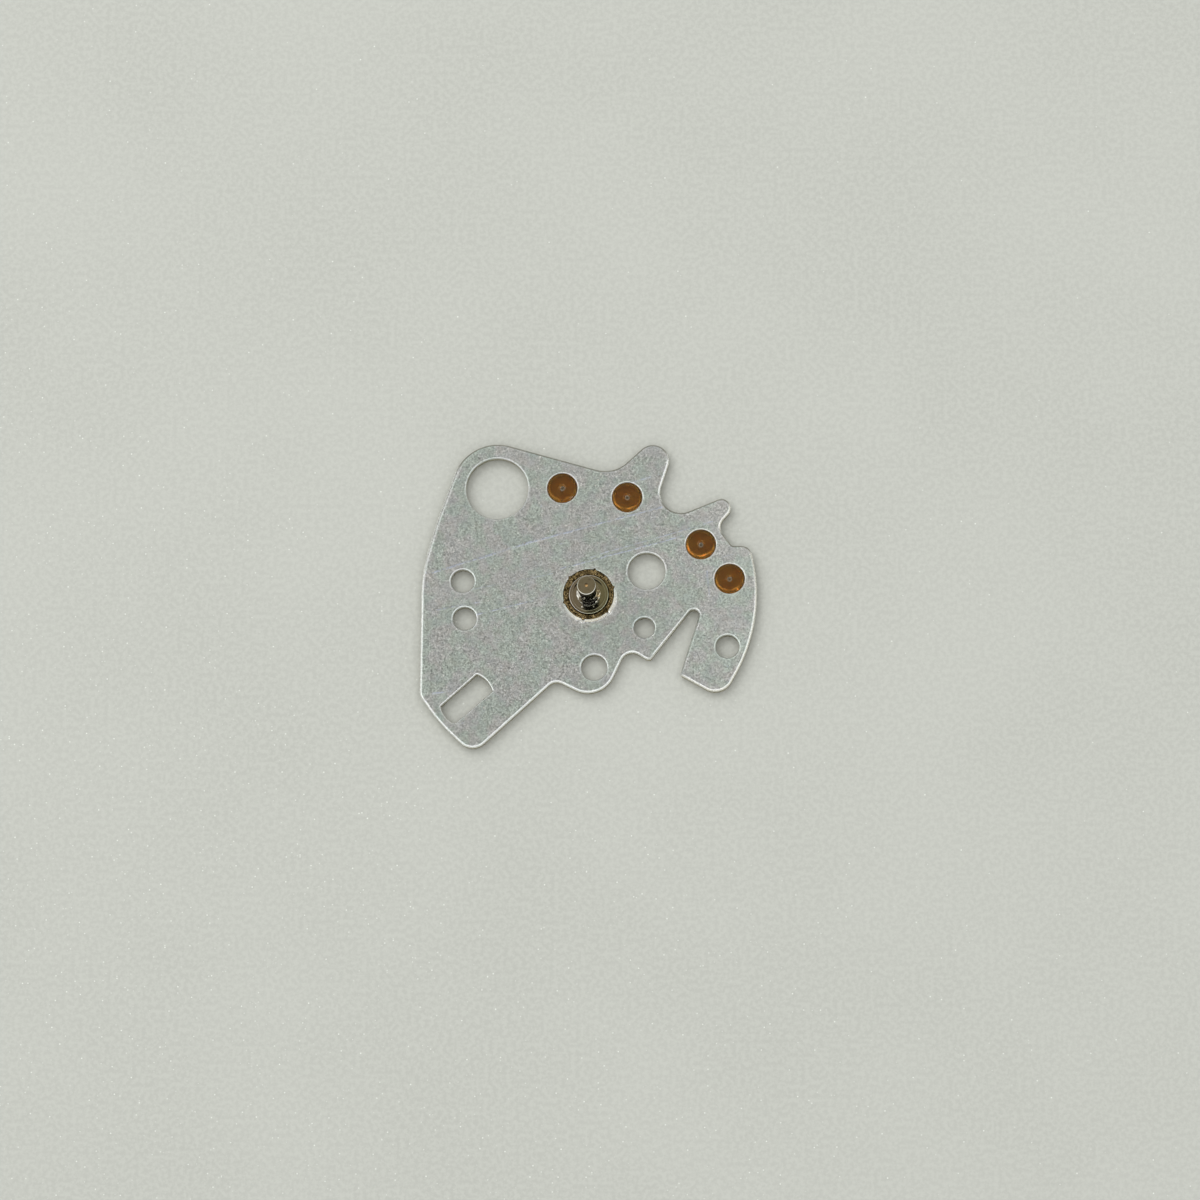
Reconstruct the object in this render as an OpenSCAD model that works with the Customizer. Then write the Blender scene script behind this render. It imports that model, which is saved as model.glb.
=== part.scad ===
// Upper bridge of a small self-winding watch movement: a flat stamped plate
// with four pressed-in pivot jewels, screw, foot and clearance holes, a slanted
// window, and a stepped rotor post riveted into a ribbed brass collar.
// Millimetres. The origin is on the post's axis at the plate's underside, and
// +Z points out of the movement, along the post.

/* [Plate] */
// Thickness of the stamped plate
plate_t = 0.50; // [0.40:0.05:0.60]
// Largest chord error allowed along the outline's arcs
outline_err = 0.002; // [0.001:0.001:0.01]

/* [Holes] */
// Large clearance hole in the upper left lobe, diameter
lobe_hole_d = 2.50; // [2.00:0.05:2.60]
// Clearance hole beside the collar, diameter
mid_hole_d = 1.50; // [1.20:0.05:1.60]
// Upper left screw hole, diameter
screw_hole_left_d = 0.94; // [0.80:0.02:1.00]
// Lower left foot hole, diameter
foot_hole_left_d = 0.94; // [0.80:0.02:1.00]
// Bottom screw hole, diameter
screw_hole_bottom_d = 1.04; // [0.90:0.02:1.10]
// Foot hole below the collar, diameter
foot_hole_mid_d = 0.84; // [0.70:0.02:0.90]
// Screw hole in the hooked tail, diameter
screw_hole_tail_d = 0.94; // [0.80:0.02:1.00]
// Bevel at the upper mouth of each round hole
hole_bevel = 0.04; // [0.02:0.01:0.06]

/* [Jewels] */
// Outside diameter of each jewel
jewel_d = 1.20; // [1.10:0.02:1.24]
// Thickness of each jewel
jewel_t = 0.36; // [0.30:0.02:0.40]
// How far each jewel's top lies below the plate's top
jewel_recess = 0.04; // [0.02:0.01:0.10]
// Pivot hole in each jewel, diameter
pivot_d = 0.14; // [0.10:0.02:0.18]
// Diameter of the oil sink at the jewel's top
sink_d = 0.30; // [0.26:0.02:0.60]
// Depth of the oil sink
sink_depth = 0.03; // [0.02:0.01:0.06]

/* [Collar] */
// Outside diameter of the collar, without its ribs
collar_d = 2.04; // [1.90:0.02:2.10]
// How far each rib stands out of the collar
rib_h = 0.07; // [0.05:0.01:0.12]
// Number of ribs that bite into the plate
rib_count = 6; // [4:1:8]
// Angle of the first rib from +X
rib_start = 17.5; // [0:0.5:45]
// How far the collar's top lies below the plate's top
collar_recess = 0.03; // [0.01:0.01:0.06]

/* [Rotor post] */
// Diameter of the pin that carries the rotor
pin_d = 0.75; // [0.60:0.01:0.80]
// Height of the pin's end above the plate's top
pin_h = 1.90; // [1.20:0.05:2.40]
// Diameter of the slightly tapered boss that the rotor seats on
boss_d = 0.95; // [0.90:0.01:1.00]
// Height of the boss above the flange
boss_h = 0.15; // [0.08:0.01:0.30]
// Diameter of the post's flange
flange_d = 1.55; // [1.50:0.01:1.60]
// Height of the flange's top above the plate's top
flange_h = 0.07; // [0.05:0.01:0.12]
// Diameter of the tail below the flange
tail_d = 1.10; // [1.06:0.02:1.20]
// Length of the tail, from the underside to the flange
tail_h = 0.24; // [0.18:0.02:0.28]

/* [Hidden] */
$fn = 96;
eps = 0.2;
jewel_z = plate_t - jewel_recess - jewel_t;
collar_top = plate_t - collar_recess;
flange_top = plate_t + flange_h;
boss_top = flange_top + boss_h;
pin_top = plate_t + pin_h;

// Centres of the jewels
J1 = [-1.11, 4.37];
J2 = [ 1.50, 3.99];
J3 = [ 4.47, 2.06];
J4 = [ 5.63, 0.66];

// Plain round holes: centre and diameter
HOLES = [
    [[-3.73,  4.34], lobe_hole_d],
    [[ 2.30,  0.97], mid_hole_d],
    [[-5.07,  0.56], screw_hole_left_d],
    [[-4.97, -0.97], foot_hole_left_d],
    [[ 0.24, -2.96], screw_hole_bottom_d],
    [[ 2.23, -1.34], foot_hole_mid_d],
    [[ 5.56, -2.10], screw_hole_tail_d]
];

// The outline is a chain of circles joined by their common tangents, walked
// counter-clockwise: [x, y, r]. A positive radius is a corner of the plate, and
// a negative one is a hollow in its edge. The side edges and the seat edge are
// arcs about the post.
OUTLINE = [
    [  0.00,  0.00,  6.72],  // right edge, about the post
    [  6.09,  1.56,  0.44],  // corner of the right shoulder
    [  5.81,  2.20, -0.20],  // foot of the shoulder
    [  5.73,  2.78, -0.48],  // notch under the right lug
    [  5.28,  3.55,  0.37],  // right lug
    [  3.66,  4.19, -0.84],  // scallop between the lugs
    [  2.51,  5.49,  0.65],  // upper lug
    [  0.60,  6.34, -1.27],  // valley in the top edge
    [ -3.73,  4.34,  1.82],  // lobe round the large hole
    [ 11.00, -2.52, 18.00],  // bowed upper left edge
    [  0.00,  0.00,  6.72],  // left edge, about the post
    [ -6.22, -3.93,  0.51],  // lower left corner
    [  0.00,  0.00,  7.86],  // seat edge, the movement's own radius
    [ -4.59, -5.51,  0.70],  // bottom corner
    [ -1.25, -4.00, -0.45],  // notch beside the arm
    [ -0.01, -2.86,  1.12],  // lobe round the bottom screw hole
    [  1.76, -2.82, -0.47],  // scallop right of the lobe
    [  2.42, -2.30,  0.32],  // blend into the slot's corner
    [  2.46, -2.54,  0.08],  // slot's left corner
    [  4.20, -0.82, -0.22],  // closed end of the slot
    [  3.79, -3.21,  0.09],  // tip of the hooked tail
    [  5.07, -3.17,  0.75]   // end of the hooked tail
];

// The slanted window, as the same kind of chain
WINDOW = [
    [ -3.91, -3.90, 0.09],  // lower right corner
    [ -4.79, -4.19, 1.01],  // bulged right end
    [ -4.44, -3.30, 0.06],  // top corner
    [ -5.83, -4.55, 0.05],  // left corner
    [ -4.97, -4.39, 0.92],  // bulged left end
    [ -5.35, -5.01, 0.20]   // bottom corner
];

// Direction of the outward normal on the tangent from circle a to circle b
function lead(a, b) = atan2(b[1] - a[1], b[0] - a[0])
    - acos((a[2] - b[2]) / norm([b[0] - a[0], b[1] - a[1]]));
function wrap(x) = let (m = x - 360 * floor(x / 360)) m > 359.5 ? 0 : m;
function sweep(a0, a1, r) = r > 0 ? wrap(a1 - a0) : -wrap(a0 - a1);
function bit(r) = 2 * acos(1 - outline_err / abs(r));
function chain(c) = [
    for (i = [0 : len(c) - 1])
        let (a0 = lead(c[(i + len(c) - 1) % len(c)], c[i]),
             s = sweep(a0, lead(c[i], c[(i + 1) % len(c)]), c[i][2]),
             k = max(1, ceil(abs(s) / bit(c[i][2]))))
        for (j = [0 : k])
            [c[i][0] + c[i][2] * cos(a0 + s * j / k),
             c[i][1] + c[i][2] * sin(a0 + s * j / k)]
];

// One pointed rib of the collar, with its root inside the ring
module rib_profile() {
    polygon([[collar_d / 2 - 0.12, -0.22], [collar_d / 2 + rib_h, 0],
             [collar_d / 2 - 0.12, 0.22]]);
}

module ribs(z0, z1) {
    for (i = [0 : rib_count - 1])
        rotate([0, 0, rib_start + i * 360 / rib_count])
            translate([0, 0, z0]) linear_extrude(z1 - z0) rib_profile();
}

// A round hole through the plate, with its bevelled upper mouth
module round_hole(at, d) {
    translate([at[0], at[1], -eps]) cylinder(d = d, h = plate_t + 2 * eps);
    translate([at[0], at[1], plate_t - hole_bevel])
        cylinder(d1 = d, d2 = d + 4 * hole_bevel, h = 2 * hole_bevel);
}

module bridge_plate() {
    color([0.66, 0.67, 0.64])
    difference() {
        linear_extrude(plate_t) polygon(chain(OUTLINE));
        for (h = HOLES) round_hole(h[0], h[1]);
        for (j = [J1, J2, J3, J4])
            translate([j[0], j[1], -eps])
                cylinder(d = jewel_d, h = plate_t + 2 * eps);
        translate([0, 0, -eps]) cylinder(d = collar_d, h = plate_t + 2 * eps);
        ribs(-eps, plate_t + eps);
        translate([0, 0, -eps])
            linear_extrude(plate_t + 2 * eps) polygon(chain(WINDOW));
    }
}

// A pressed-in pivot jewel: a bevelled disc with an oil sink round its hole
module jewel(at) {
    cup_r = (sink_d * sink_d / 4 + sink_depth * sink_depth) / (2 * sink_depth);
    r = jewel_d / 2;
    translate([at[0], at[1], jewel_z])
    difference() {
        rotate_extrude()
            polygon([[0, 0], [r - 0.07, 0], [r, 0.07], [r, jewel_t - 0.02],
                     [r - 0.02, jewel_t], [0, jewel_t]]);
        translate([0, 0, -eps]) cylinder(d = pivot_d, h = jewel_t + 2 * eps);
        translate([0, 0, jewel_t - sink_depth + cup_r]) sphere(r = cup_r);
    }
}

module jewel_upper_left()   { color([0.45, 0.24, 0.08]) jewel(J1); }
module jewel_upper_middle() { color([0.45, 0.24, 0.08]) jewel(J2); }
module jewel_right_upper()  { color([0.45, 0.24, 0.08]) jewel(J3); }
module jewel_right_lower()  { color([0.45, 0.24, 0.08]) jewel(J4); }

// The brass collar: a stepped ring that holds the post's flange, with ribs
// that lock it in the plate and a turned groove in its top
module post_collar() {
    color([0.42, 0.33, 0.17])
    union() {
        rotate_extrude()
            polygon([[tail_d / 2, 0], [collar_d / 2, 0],
                     [collar_d / 2, collar_top],
                     [flange_d / 2 + 0.14, collar_top],
                     [flange_d / 2 + 0.12, collar_top - 0.03],
                     [flange_d / 2 + 0.08, collar_top - 0.03],
                     [flange_d / 2 + 0.06, collar_top],
                     [flange_d / 2, collar_top],
                     [flange_d / 2, tail_h], [tail_d / 2, tail_h]]);
        ribs(0, collar_top - 0.01);
    }
}

// The steel rotor post: tail, flange with a raised rim, seating boss and pin
module rotor_post() {
    color([0.55, 0.53, 0.46])
    rotate_extrude()
        polygon([[0, 0], [tail_d / 2, 0], [tail_d / 2, tail_h],
                 [flange_d / 2, tail_h], [flange_d / 2, flange_top - 0.03],
                 [flange_d / 2 - 0.03, flange_top],
                 [flange_d / 2 - 0.11, flange_top],
                 [flange_d / 2 - 0.14, flange_top - 0.03],
                 [boss_d / 2 + 0.03, flange_top - 0.03],
                 [boss_d / 2 + 0.01, flange_top - 0.01],
                 [boss_d / 2 - 0.01, boss_top - 0.03],
                 [boss_d / 2 - 0.04, boss_top],
                 [pin_d / 2, boss_top],
                 [pin_d / 2, pin_top - 0.05],
                 [pin_d / 2 - 0.05, pin_top],
                 [0, pin_top]]);
}

bridge_plate();
jewel_upper_left();
jewel_upper_middle();
jewel_right_upper();
jewel_right_lower();
post_collar();
rotor_post();
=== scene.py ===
import bpy, math
import numpy as np
from mathutils import Matrix, Vector, noise
from mathutils.geometry import delaunay_2d_cdt


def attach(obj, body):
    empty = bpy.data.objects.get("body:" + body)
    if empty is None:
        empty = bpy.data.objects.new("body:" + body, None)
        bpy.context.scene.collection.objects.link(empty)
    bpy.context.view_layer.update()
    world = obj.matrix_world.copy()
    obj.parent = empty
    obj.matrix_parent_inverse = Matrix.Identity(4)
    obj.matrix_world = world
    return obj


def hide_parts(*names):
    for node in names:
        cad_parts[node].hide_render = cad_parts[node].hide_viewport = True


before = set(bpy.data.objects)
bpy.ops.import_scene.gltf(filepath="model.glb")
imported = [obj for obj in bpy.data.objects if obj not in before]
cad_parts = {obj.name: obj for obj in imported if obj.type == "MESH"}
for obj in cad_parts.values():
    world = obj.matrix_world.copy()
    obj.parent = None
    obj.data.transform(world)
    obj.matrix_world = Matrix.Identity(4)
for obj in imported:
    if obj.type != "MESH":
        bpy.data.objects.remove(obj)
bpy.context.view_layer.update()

# ---------------------------------------------------------------- sizes (mm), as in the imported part
T = 0.50                                   # plate
ROLL_A, ROLL_B = 0.092, 0.098              # rolled upper edge of the outline: width and depth
HOLE_A, HOLE_B = 0.070, 0.070              # rolled upper edge of a hole
SEAT_A, SEAT_B = 0.070, 0.045              # rolled upper edge of a jewel's seat

OUTLINE = [
    (0.00, 0.00, 6.72), (6.09, 1.56, 0.44), (5.81, 2.20, -0.20), (5.73, 2.78, -0.48),
    (5.28, 3.55, 0.37), (3.66, 4.19, -0.84), (2.51, 5.49, 0.65), (0.60, 6.34, -1.27),
    (-3.73, 4.34, 1.82), (11.00, -2.52, 18.00), (0.00, 0.00, 6.72), (-6.22, -3.93, 0.51),
    (0.00, 0.00, 7.86), (-4.59, -5.51, 0.70), (-1.25, -4.00, -0.45), (-0.01, -2.86, 1.12),
    (1.76, -2.82, -0.47), (2.42, -2.30, 0.32), (2.46, -2.54, 0.08), (4.20, -0.82, -0.22),
    (3.79, -3.21, 0.09), (5.07, -3.17, 0.75)]
WINDOW = [
    (-3.91, -3.90, 0.09), (-4.79, -4.19, 1.01), (-4.44, -3.30, 0.06),
    (-5.83, -4.55, 0.05), (-4.97, -4.39, 0.92), (-5.35, -5.01, 0.20)]
HOLES = [
    (-3.73, 4.34, 1.25), (2.30, 0.97, 0.75), (-5.07, 0.56, 0.47), (-4.97, -0.97, 0.47),
    (0.24, -2.96, 0.52), (2.23, -1.34, 0.42), (5.56, -2.10, 0.47)]
JEWELS = {
    "jewel_upper_left": (-1.11, 4.37), "jewel_upper_middle": (1.50, 3.99),
    "jewel_right_upper": (4.47, 2.06), "jewel_right_lower": (5.63, 0.66)}
JEWEL_R = 0.60
RIB_START, RIB_N = 17.5, 6
COLLAR_R, RIB_TIP = 1.02, 1.09


# ---------------------------------------------------------------- geometry helpers
def chain(circles, step=4.0, seg=0.10):
    """Points (mm) and outward normals along a chain of circles joined by common tangents."""
    n = len(circles)
    lead = []
    for i in range(n):
        a, b = circles[i], circles[(i + 1) % n]
        dx, dy = b[0] - a[0], b[1] - a[1]
        lead.append(math.atan2(dy, dx) - math.acos((a[2] - b[2]) / math.hypot(dx, dy)))
    pts, nrm, rad = [], [], []
    for i in range(n):
        x, y, r = circles[i]
        a0, a1 = lead[i - 1], lead[i]
        two = 2 * math.pi
        s = (a1 - a0) % two if r > 0 else -((a0 - a1) % two)
        if abs(s) > two - 0.01:
            s = 0.0
        k = max(1, math.ceil(abs(math.degrees(s)) / step), math.ceil(abs(s * r) / seg))
        for j in range(k + 1):
            t = a0 + s * j / k
            pts.append((x + r * math.cos(t), y + r * math.sin(t)))
            nrm.append((math.cos(t), math.sin(t)))
            rad.append(r if r > 0 else 99.0)
        b = circles[(i + 1) % n]
        p = pts[-1]
        q = (b[0] + b[2] * math.cos(a1), b[1] + b[2] * math.sin(a1))
        m = max(1, math.ceil(math.hypot(q[0] - p[0], q[1] - p[1]) / seg))
        for j in range(1, m):
            pts.append((p[0] + (q[0] - p[0]) * j / m, p[1] + (q[1] - p[1]) * j / m))
            nrm.append((math.cos(a1), math.sin(a1)))
            rad.append(99.0)
    out, outn, outr = [], [], []
    for p, d, r in zip(pts, nrm, rad):         # no two points alike
        if not out or math.hypot(p[0] - out[-1][0], p[1] - out[-1][1]) > 1e-4:
            out.append(p); outn.append(d); outr.append(r)
    if math.hypot(out[0][0] - out[-1][0], out[0][1] - out[-1][1]) < 1e-4:
        out.pop(); outn.pop(); outr.pop()
    return np.array(out), np.array(outn), np.array(outr)


def circle(x, y, r, n):
    t = np.arange(n) * 2 * math.pi / n
    c = np.c_[np.cos(t), np.sin(t)]
    return np.array([x, y]) + r * c, c


def rib_radius(deg, r0=COLLAR_R, tip=RIB_TIP):
    """The collar's outer radius at an angle: a circle with pointed ribs."""
    d = (deg - RIB_START) % (360.0 / RIB_N)
    d = min(d, 360.0 / RIB_N - d)
    t = math.tan(math.radians(d))
    base = r0 - 0.12
    s = tip * t / (0.22 + (tip - base) * t)
    return max(r0, (tip - (tip - base) * s) / math.cos(math.radians(d)))


def inside(pts, poly):
    """Which of the points lie in the closed polygon."""
    x, y = pts[:, 0][:, None], pts[:, 1][:, None]
    x0, y0 = poly[:, 0][None], poly[:, 1][None]
    x1, y1 = np.roll(poly[:, 0], -1)[None], np.roll(poly[:, 1], -1)[None]
    cross = (y0 > y) != (y1 > y)
    with np.errstate(divide="ignore", invalid="ignore"):
        xi = (x1 - x0) * (y - y0) / (y1 - y0) + x0
    return (np.sum(cross & (x < xi), axis=1) % 2) == 1


class Builder:
    """Collects vertices (mm), faces and per-vertex numbers, then makes one object of them."""

    def __init__(self):
        self.v, self.f, self.attr = [], [], {}

    def ring(self, xy, z, **attr):
        """A loop of points at one height, or at a height each."""
        n0 = len(self.v)
        zz = np.broadcast_to(np.asarray(z, float), (len(xy),))
        for (x, y), h in zip(xy, zz):
            self.v.append((float(x), float(y), float(h)))
        for k in attr:
            self.attr.setdefault(k, {})
            vals = np.broadcast_to(np.asarray(attr[k], float), (len(xy),))
            for i, a in enumerate(vals):
                self.attr[k][n0 + i] = float(a)
        return list(range(n0, n0 + len(xy)))

    def band(self, a, b, flip=False):
        n = len(a)
        for i in range(n):
            j = (i + 1) % n
            q = (a[i], a[j], b[j], b[i])
            self.f.append(q[::-1] if flip else q)

    def cap(self, loops, z, grid=0.0, up=True, margin=0.05):
        """Fills between the first loop (outer) and the others (holes), at height z, with a grid of points inside."""
        ids = [i for l in loops for i in l]
        co = [Vector(self.v[i][:2]) for i in ids]
        polys, edges, k = [], [], 0
        for l in loops:
            polys.append(np.array([self.v[i][:2] for i in l]))
            edges += [(k + i, k + (i + 1) % len(l)) for i in range(len(l))]
            k += len(l)
        extra = []
        if grid:
            lo, hi = polys[0].min(0), polys[0].max(0)
            rows = int((hi[1] - lo[1]) / (grid * 0.866)) + 1
            cols = int((hi[0] - lo[0]) / grid) + 1
            g = np.array([(lo[0] + (c + 0.5 * (r % 2)) * grid, lo[1] + r * grid * 0.866)
                          for r in range(rows) for c in range(cols)])
            ok = inside(g, polys[0])
            for p in polys[1:]:
                ok &= ~inside(g, p)
            g = g[ok]
            allp = np.concatenate(polys)
            keep = np.ones(len(g), bool)
            for i in range(0, len(g), 400):
                d = np.hypot(g[i:i + 400, 0][:, None] - allp[:, 0], g[i:i + 400, 1][:, None] - allp[:, 1])
                keep[i:i + 400] = d.min(1) > margin
            g = g[keep]
            for x, y in g:
                extra.append(len(self.v))
                self.v.append((float(x), float(y), z))
            co += [Vector((float(x), float(y))) for x, y in g]
        ids += extra
        ov, oe, of, orig, _, _ = delaunay_2d_cdt(co, edges, [], 0, 1e-7)
        tri = np.array([[orig[i][0] for i in t] for t in of])
        xy = np.array([(c.x, c.y) for c in co])
        mid = xy[tri].mean(1)
        ok = inside(mid, polys[0])
        for p in polys[1:]:
            ok &= ~inside(mid, p)
        # a straight run of a loop can leave slivers outside it: each edge of a loop bounds one triangle
        size = np.abs(np.cross(xy[tri[:, 1]] - xy[tri[:, 0]], xy[tri[:, 2]] - xy[tri[:, 0]]))
        users = {}
        for i in np.nonzero(ok)[0]:
            for j in range(3):
                users.setdefault(frozenset((int(tri[i][j]), int(tri[i][j - 1]))), []).append(i)
        for e in edges:
            both = users.get(frozenset(e), [])
            if len(both) > 1:
                ok[min(both, key=lambda i: size[i])] = False
        for t in tri[ok]:
            a, b, c = xy[t]
            ccw = (b[0] - a[0]) * (c[1] - a[1]) - (b[1] - a[1]) * (c[0] - a[0])
            if abs(ccw) < 1e-12:
                continue
            q = [ids[i] for i in t]
            if (ccw > 0) != up:
                q = q[::-1]
            self.f.append(tuple(q))
        return extra

    def make(self, name, sharp=None, shift=None):
        mesh = bpy.data.meshes.new(name)
        v = np.array(self.v)
        if shift is not None:
            v = shift(v)
        mesh.from_pydata([tuple(p) for p in v * 0.001], [], self.f)
        mesh.validate()
        for k, d in self.attr.items():
            a = mesh.attributes.new(k, "FLOAT", "POINT")
            vals = np.zeros(len(v), np.float32)
            for i, x in d.items():
                vals[i] = x
            a.data.foreach_set("value", vals)
        for p in mesh.polygons:
            p.use_smooth = True
        if sharp:
            mesh.set_sharp_from_angle(angle=math.radians(sharp))
        mesh.update()
        ob = bpy.data.objects.new(name, mesh)
        bpy.context.scene.collection.objects.link(ob)
        return ob


def lathe(name, profile, at=(0, 0), n=128, closed=False, sharp=40, wobble=None, radius=None):
    """A turned body: profile is [(r, z)] in mm, walked so that the outside is on its right."""
    b = Builder()
    rings = []
    deg = (np.arange(n) + 0.5) * 360.0 / n
    t = np.radians(deg)
    for r, z in profile:
        if r < 1e-6:
            b.v.append((at[0], at[1], z))
            rings.append(len(b.v) - 1)
            continue
        rr = np.full(n, float(r))
        zz = np.full(n, float(z))
        if radius:
            rr = np.array([radius(r, d) for d in deg])
        if wobble:
            for i in range(n):
                dr, dz = wobble(rr[i], z, deg[i])
                rr[i] += dr
                zz[i] += dz
        xy = np.c_[at[0] + rr * np.cos(t), at[1] + rr * np.sin(t)]
        rings.append(b.ring(xy, zz))
    pairs = list(zip(rings, rings[1:])) + ([(rings[-1], rings[0])] if closed else [])
    for p, q in pairs:
        if isinstance(p, int):
            for i in range(n):
                b.f.append((p, q[(i + 1) % n], q[i]))
        elif isinstance(q, int):
            for i in range(n):
                b.f.append((p[i], p[(i + 1) % n], q))
        else:
            b.band(p, q)
    return b.make(name, sharp=sharp)


# ---------------------------------------------------------------- plate
def build_plate():
    b = Builder()
    P, Nrm, Rad = chain(OUTLINE)
    along = np.r_[0, np.cumsum(np.hypot(*np.diff(P, axis=0).T))]
    # the roll narrows where the outline turns round a tiny radius
    gap = np.hypot(P[:, 0][:, None] - P[:, 0], P[:, 1][:, None] - P[:, 1])
    room = (np.minimum(Rad, 9.0) * 0.9 + 0.35 * gap).min(1)

    def rough(z, amp, f=11.0, seed=0.0):
        return np.array([amp * (0.5 + 0.5 * noise.noise(Vector((x * f, y * f, z * f + seed)))) for x, y in P])

    top_loops, low_loops = [], []

    def edge(P, Nrm, sign, ra, rb, along, support=0.03, burr=0.016, room=None, bright=1.0):
        """Rings from the flat top, round the rolled edge and down the wall, to the flat underside.
        sign is 1 where the normals point out of the plate and -1 in a hole. Returns the top and the bottom loop."""
        slim = np.ones(len(P)) if room is None else np.minimum(1.0, room / (ra + support))

        def off(d):
            return P - sign * (slim * d)[:, None] * Nrm
        # the edges that face +Y get less burnish and a painted shade; the others are burnished
        dull = np.zeros(len(P))
        faint = np.zeros(len(P))
        if sign > 0:
            q = np.clip((Nrm[:, 1] - 0.30) / 0.38, 0, 1)
            dull = q * q * (3 - 2 * q)
            # the slot's right flank and its end show hardly any shine, and get a little painted shade
            q = np.clip((-Nrm[:, 0] - 0.45) / 0.35, 0, 1) * (P[:, 0] > 0) * (P[:, 1] < 1)
            faint = np.maximum(q, 0.6 * np.clip((0.55 - np.hypot(P[:, 0] - 4.20, P[:, 1] + 0.80)) / 0.2, 0, 1))
            dull = np.maximum(dull, 0.22 * faint)
            slim = slim * (1 - 0.14 * np.clip((-Nrm[:, 1] - 0.10) / 0.5, 0, 1))
            # the upper left edge is rolled wider
            q = np.clip((Nrm[:, 1] - 0.03) / 0.25, 0, 1)
            q = 0.34 * q * q * (3 - 2 * q) + 0.08 * np.clip((Nrm[:, 1] + 0.12) / 0.14, 0, 1)
            slim = slim * (1 + q * np.clip((-Nrm[:, 0] - 0.72) / 0.16, 0, 1) * (P[:, 0] < -3))
        rings = [b.ring(off(ra + support), T, edge=0, wall=0, along=along, dull=0)]
        for k in range(0, 8):
            t = math.radians(90 * k / 7)
            e = bright * (0.0, 0.25, 0.55, 0.85, 1.0, 1.0, 1.0, 0.8)[k]
            flat = 0.45 if sign > 0 else 0.0             # the outline's roll is half way to a chamfer
            u, w = (1 - flat) * math.sin(t) + flat * k / 7, (1 - flat) * (1 - math.cos(t)) + flat * k / 7
            rings.append(b.ring(off(ra * (1 - u)), T - rb * w, edge=e * (1 - dull) * (1 - 0.8 * faint), wall=0, along=along,
                                dull=dull * (0, 0, 0.3, 0.8, 1, 1, 1, 1)[k]))
        wall = [(0.0, 0.30, 1), (0.0, 0.262, 1), (0.005, 0.246, 2), (0.009, 0.21, 2), (0.011, 0.16, 2),
                (0.012, 0.11, 2), (0.012, 0.06, 2), (0.012 + burr * 0.3, 0.025, 2)]
        for d, z, kind in wall:
            dd = np.full(len(P), d)
            if kind == 2:
                dd = dd + np.array([0.010 * max(0.0, noise.noise(Vector((x * 9, y * 9, z * 14)))) +
                                    0.006 * max(0.0, noise.noise(Vector((x * 26, y * 26, z * 30)))) for x, y in P])
            zz = z
            if abs(z - 0.262) < 1e-6 or abs(z - 0.246) < 1e-6:
                zz = z + np.array([0.022 * noise.noise(Vector((x * 4, y * 4, 3.0))) +
                                   0.010 * noise.noise(Vector((x * 17, y * 17, 5.0))) for x, y in P])
            rings.append(b.ring(off(dd), zz, edge=0, wall=kind, along=along, dull=0))
        rings.append(b.ring(off(0.012 + burr), 0.0, edge=0, wall=1.5, along=along))
        rings.append(b.ring(off(0.012 + burr + 0.03), 0.0, edge=0, wall=0, along=along))
        for p, q in zip(rings, rings[1:]):
            b.band(p, q, flip=sign > 0)
        return rings[0], rings[-1]

    t0, b0 = edge(P, Nrm, 1, ROLL_A, ROLL_B, along, room=room)
    top_loops.append(t0); low_loops.append(b0)
    for (x, y, r), shine in zip(HOLES, (0.45, 0.40, 0.48, 0.48, 0.45, 0.25, 0.25)):
        n = 160 if r > 1 else (120 if r > 0.6 else 96)
        Q, M = circle(x, y, r, n)
        al = np.arange(n) * 2 * math.pi * r / n
        t1, b1 = edge(Q, M, -1, HOLE_A * (0.85 if r > 1 else 1.10), HOLE_B, al, bright=shine)
        top_loops.append(t1); low_loops.append(b1)
    for x, y in JEWELS.values():
        Q, M = circle(x, y, JEWEL_R + 0.010, 96)
        al = np.arange(96) * 2 * math.pi * JEWEL_R / 96
        t1, b1 = edge(Q, M, -1, SEAT_A * 0.9, SEAT_B, al, bright=0.42)
        top_loops.append(t1); low_loops.append(b1)
    Q, M, _ = chain(WINDOW, step=5.0, seg=0.08)
    al = np.r_[0, np.cumsum(np.hypot(*np.diff(Q, axis=0).T))]
    t1, b1 = edge(Q, M, -1, 0.06, 0.075, al)
    top_loops.append(t1); low_loops.append(b1)

    # the collar's hole: notched by the ribs, with a lip that the pressing pushed up
    n = 360
    deg = np.arange(n) + 0.5
    rad = np.array([rib_radius(d) for d in deg])
    t = np.radians(deg)
    u = np.c_[np.cos(t), np.sin(t)]
    lip = []
    for d in deg:
        c, q = math.cos(math.radians(d)), math.sin(math.radians(d))
        k = min(1.0, max(0.0, (math.cos(math.radians(d - 292)) + 0.15) / 1.02))
        k = k * k * (3 - 2 * k)
        k *= 1.0 + 0.30 * noise.noise(Vector((c * 3.0, q * 3.0, 1.7))) + 0.34 * noise.noise(Vector((c * 11, q * 11, 4.1)))
        lip.append(min(1.0, max(0.0, k)))
    lip = np.array(lip)
    e = rad - COLLAR_R
    r0 = COLLAR_R
    lean = np.maximum(0.0, np.cos(np.radians(deg - 112)))
    rw = r0 + e + 0.004 + 0.026 * lean                       # wall beside the collar's upper part
    ri = rw - 0.018 * lip                                    # the lip reaches over the collar's edge
    ro = r0 + 0.6 * e + 0.045 + 0.020 * lean + 0.100 * lip
    rows = [(r0 + 0.25 + 0 * e, T + 0 * e, 0 * e), (ro + 0.03, T + 0 * e, 0.28 + 0 * e)]
    for k in range(0, 8):
        g = k / 7
        up, down = math.sin(math.pi / 2 * min(1.0, g / 0.29)), max(0.0, (g - 0.29) / 0.71)
        rows.append((ro + (ri - ro) * g, T + 0.020 * lip * up - (0.012 + 0.0325 * lip) * down,
                     (0.16 + 0.84 * lip) * min(1.0, 0.4 + 0.25 * k)))
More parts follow.
